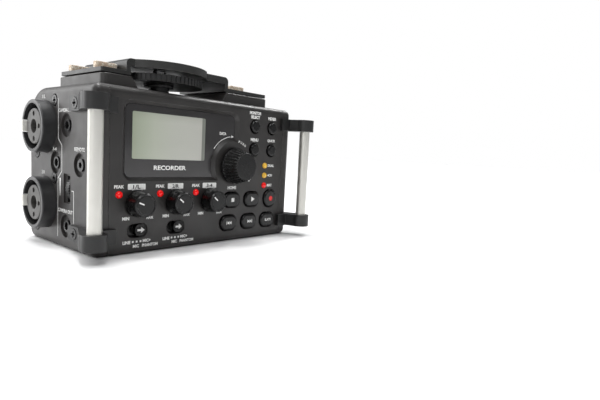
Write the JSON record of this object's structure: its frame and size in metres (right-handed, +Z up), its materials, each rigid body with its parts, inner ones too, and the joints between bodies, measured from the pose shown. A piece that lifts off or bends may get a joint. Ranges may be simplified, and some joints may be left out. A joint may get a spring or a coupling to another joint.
{
  "type": "portable audio recorder",
  "caption": "Camera-mount multichannel audio recorder: boxy casing, display, dial, knobs, keys, side sockets, handle bars and a camera plate on top.",
  "frame": {"origin": "mouth of the tripod thread in the bottom face, in the middle of the casing", "axes": "+Z up, the control panel faces -Y, +X to the right of a person who reads the panel"},
  "size_m": [0.1356, 0.0798, 0.087],
  "materials": {
    "front_plastic": "fine texture",
    "casing_plastic": "fine texture",
    "brass": "machined",
    "window": "polished",
    "lcd": "polished",
    "circuit_board": "solder mask",
    "inner_plastic": "moulded",
    "red_light": "clear dyed",
    "amber_light": "clear dyed",
    "socket_plastic": "moulded",
    "core_plastic": "moulded",
    "jack_plastic": "moulded",
    "cell_wrap": "plain wrap",
    "bar_aluminium": "satin",
    "bracket_plastic": "semi-matt black",
    "screw_steel": "black",
    "shaft_steel": "turned",
    "plate_metal": "fine texture",
    "pad_cork": "soft",
    "wheel_plastic": "knurled",
    "knob_plastic": "semi-gloss",
    "latch_metal": "nickel plated",
    "key_rubber": "semi-gloss"
  },
  "bodies": {
    "casing": {"front_panel": "front_plastic", "left_side_panel": "casing_plastic", "right_side_panel": "casing_plastic", "top_cover": "casing_plastic", "bottom_cover": "casing_plastic", "rear_panel": "casing_plastic", "tripod_insert": "brass", "display_window": "window", "lcd_screen": "lcd", "front_board": "circuit_board", "main_board": "circuit_board", "encoder_body": "inner_plastic", "level_pots": "inner_plastic", "switch_bodies": "inner_plastic", "tact_switches": "inner_plastic", "red_lights": "red_light", "amber_lights": "amber_light", "upper_combo_socket": "socket_plastic", "lower_combo_socket": "socket_plastic", "upper_combo_core": "core_plastic", "lower_combo_core": "core_plastic", "stereo_jacks": "jack_plastic", "remote_jack": "jack_plastic", "card_socket": "inner_plastic", "battery_holder": "inner_plastic", "battery_cells": "cell_wrap", "handle_bars": "bar_aluminium", "handle_brackets": "bracket_plastic", "case_screws": "screw_steel", "camera_plate": "plate_metal", "plate_pads": "pad_cork", "plate_screws": "screw_steel"},
    "dial_plunger": {"dial_plunger": "inner_plastic"},
    "data_dial": {"dial_shaft": "shaft_steel", "data_dial": "knob_plastic"},
    "gain_knob_1": {"gain_knob_1": "knob_plastic"},
    "gain_knob_2": {"gain_knob_2": "knob_plastic"},
    "gain_knob_3": {"gain_knob_3": "knob_plastic"},
    "input_switch_1": {"input_switch_1": "knob_plastic"},
    "input_switch_2": {"input_switch_2": "knob_plastic"},
    "monitor_button": {"monitor_button": "key_rubber"},
    "mixer_button": {"mixer_button": "key_rubber"},
    "menu_button": {"menu_button": "key_rubber"},
    "quick_button": {"quick_button": "key_rubber"},
    "stop_key": {"stop_key": "key_rubber"},
    "play_key": {"play_key": "key_rubber"},
    "record_key": {"record_key": "key_rubber"},
    "previous_key": {"previous_key": "key_rubber"},
    "next_key": {"next_key": "key_rubber"},
    "slate_key": {"slate_key": "key_rubber"},
    "upper_latch": {"upper_latch": "latch_metal"},
    "lower_latch": {"lower_latch": "latch_metal"},
    "output_level_wheel": {"output_level_wheel": "wheel_plastic"},
    "phones_level_wheel": {"phones_level_wheel": "wheel_plastic"},
    "hold_switch": {"hold_switch": "wheel_plastic"},
    "card_door": {"card_door": "casing_plastic"},
    "battery_door": {"battery_door": "casing_plastic"},
    "screw_collar": {"screw_collar": "inner_plastic"},
    "camera_wheel": {"camera_wheel": "wheel_plastic", "camera_screw": "shaft_steel"}
  },
  "joints": [
    {"name": "data_dial_push", "type": "slide", "parent": "casing", "child": "dial_plunger", "axis": [0, 1, 0], "range_m": [0, 0.0006], "stiffness_N_per_m": 2000, "springref_m": -0.0003},
    {"name": "data_dial_turn", "type": "hinge", "parent": "dial_plunger", "child": "data_dial", "pos_m": [0.01625, -0.03335, 0.0401], "axis": [0, 1, 0], "continuous": true},
    {"name": "gain_knob_1_turn", "type": "hinge", "parent": "casing", "child": "gain_knob_1", "pos_m": [-0.03965, -0.03335, 0.0225], "axis": [0, 1, 0], "range_deg": [-83, 217]},
    {"name": "gain_knob_2_turn", "type": "hinge", "parent": "casing", "child": "gain_knob_2", "pos_m": [-0.0195, -0.03335, 0.0225], "axis": [0, 1, 0], "range_deg": [-99, 201]},
    {"name": "gain_knob_3_turn", "type": "hinge", "parent": "casing", "child": "gain_knob_3", "pos_m": [0.00065, -0.03335, 0.0225], "axis": [0, 1, 0], "range_deg": [-101, 199]},
    {"name": "input_switch_1_slide", "type": "slide", "parent": "casing", "child": "input_switch_1", "axis": [1, 0, 0], "range_m": [-0.0041, 0]},
    {"name": "input_switch_2_slide", "type": "slide", "parent": "casing", "child": "input_switch_2", "axis": [1, 0, 0], "range_m": [-0.0041, 0]},
    {"name": "monitor_button_press", "type": "slide", "parent": "casing", "child": "monitor_button", "axis": [0, 1, 0], "range_m": [0, 0.0008], "stiffness_N_per_m": 800, "springref_m": -0.0003},
    {"name": "mixer_button_press", "type": "slide", "parent": "casing", "child": "mixer_button", "axis": [0, 1, 0], "range_m": [0, 0.0008], "stiffness_N_per_m": 800, "springref_m": -0.0003},
    {"name": "menu_button_press", "type": "slide", "parent": "casing", "child": "menu_button", "axis": [0, 1, 0], "range_m": [0, 0.0008], "stiffness_N_per_m": 800, "springref_m": -0.0003},
    {"name": "quick_button_press", "type": "slide", "parent": "casing", "child": "quick_button", "axis": [0, 1, 0], "range_m": [0, 0.0008], "stiffness_N_per_m": 800, "springref_m": -0.0003},
    {"name": "stop_key_press", "type": "slide", "parent": "casing", "child": "stop_key", "axis": [0, 1, 0], "range_m": [0, 0.0008], "stiffness_N_per_m": 800, "springref_m": -0.0003},
    {"name": "play_key_press", "type": "slide", "parent": "casing", "child": "play_key", "axis": [0, 1, 0], "range_m": [0, 0.0008], "stiffness_N_per_m": 800, "springref_m": -0.0003},
    {"name": "record_key_press", "type": "slide", "parent": "casing", "child": "record_key", "axis": [0, 1, 0], "range_m": [0, 0.0008], "stiffness_N_per_m": 800, "springref_m": -0.0003},
    {"name": "previous_key_press", "type": "slide", "parent": "casing", "child": "previous_key", "axis": [0, 1, 0], "range_m": [0, 0.0008], "stiffness_N_per_m": 800, "springref_m": -0.0003},
    {"name": "next_key_press", "type": "slide", "parent": "casing", "child": "next_key", "axis": [0, 1, 0], "range_m": [0, 0.0008], "stiffness_N_per_m": 800, "springref_m": -0.0003},
    {"name": "slate_key_press", "type": "slide", "parent": "casing", "child": "slate_key", "axis": [0, 1, 0], "range_m": [0, 0.0008], "stiffness_N_per_m": 800, "springref_m": -0.0003},
    {"name": "upper_latch_press", "type": "slide", "parent": "casing", "child": "upper_latch", "axis": [1, 0, 0], "range_m": [0, 0.0012], "stiffness_N_per_m": 800, "springref_m": -0.0003},
    {"name": "lower_latch_press", "type": "slide", "parent": "casing", "child": "lower_latch", "axis": [1, 0, 0], "range_m": [0, 0.0012], "stiffness_N_per_m": 800, "springref_m": -0.0003},
    {"name": "output_level_turn", "type": "hinge", "parent": "casing", "child": "output_level_wheel", "pos_m": [-0.05235, -0.00895, 0.0272], "axis": [0, 1, 0], "range_deg": [-135, 135]},
    {"name": "phones_level_turn", "type": "hinge", "parent": "casing", "child": "phones_level_wheel", "pos_m": [0.05235, -0.00895, 0.033], "axis": [0, 1, 0], "range_deg": [-135, 135]},
    {"name": "hold_switch_slide", "type": "slide", "parent": "casing", "child": "hold_switch", "axis": [0, 0, 1], "range_m": [-0.002, 0.002], "stiffness_N_per_m": 300},
    {"name": "card_door_open", "type": "hinge", "parent": "casing", "child": "card_door", "pos_m": [0.05805, 0.02745, 0.032], "axis": [0, 0, 1], "range_deg": [0, 95]},
    {"name": "battery_door_open", "type": "hinge", "parent": "casing", "child": "battery_door", "pos_m": [0.00275, 0.03215, 0.0102], "axis": [-1, 0, 0], "range_deg": [0, 95]},
    {"name": "camera_screw_lift", "type": "slide", "parent": "casing", "child": "screw_collar", "axis": [0, 0, 1], "range_m": [0, 0.0033]},
    {"name": "camera_wheel_turn", "type": "hinge", "parent": "screw_collar", "child": "camera_wheel", "pos_m": [-0.01425, -0.00885, 0.079], "axis": [0, 0, 1], "continuous": true}
  ]
}
